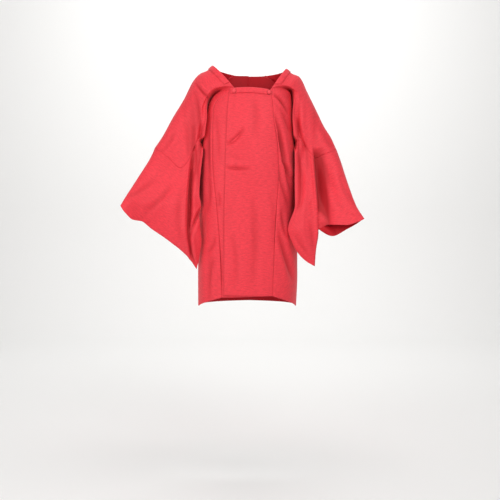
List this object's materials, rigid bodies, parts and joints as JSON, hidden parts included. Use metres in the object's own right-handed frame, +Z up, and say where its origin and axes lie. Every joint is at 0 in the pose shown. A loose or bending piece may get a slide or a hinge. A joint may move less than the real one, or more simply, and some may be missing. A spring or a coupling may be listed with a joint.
{
  "type": "michiyuki kimono coat",
  "caption": "Square-necked silk kimono coat in its hollow worn form, with wide hanging sleeves, a front that overlaps left over right and covered buttons at the corners of the neck.",
  "frame": {"origin": "midway between the two shoulder points beside the neck, where the wearer carries the coat", "axes": "+Z up, the front faces -Y, +X is the wearer's left"},
  "size_m": [0.7867, 0.2937, 0.8138],
  "materials": {
    "silk_crepe": "red silk crepe with a soft, low sheen"
  },
  "bodies": {
    "root": {"body_right": "silk_crepe", "body_left": "silk_crepe", "sleeve_right": "silk_crepe", "sleeve_left": "silk_crepe", "overlap_right": "silk_crepe", "overlap_left": "silk_crepe", "gore_right": "silk_crepe", "gore_left": "silk_crepe", "neck_band_right": "silk_crepe", "neck_band_left": "silk_crepe", "neck_band_front": "silk_crepe", "button_right": "silk_crepe", "button_left": "silk_crepe"}
  },
  "joints": []
}
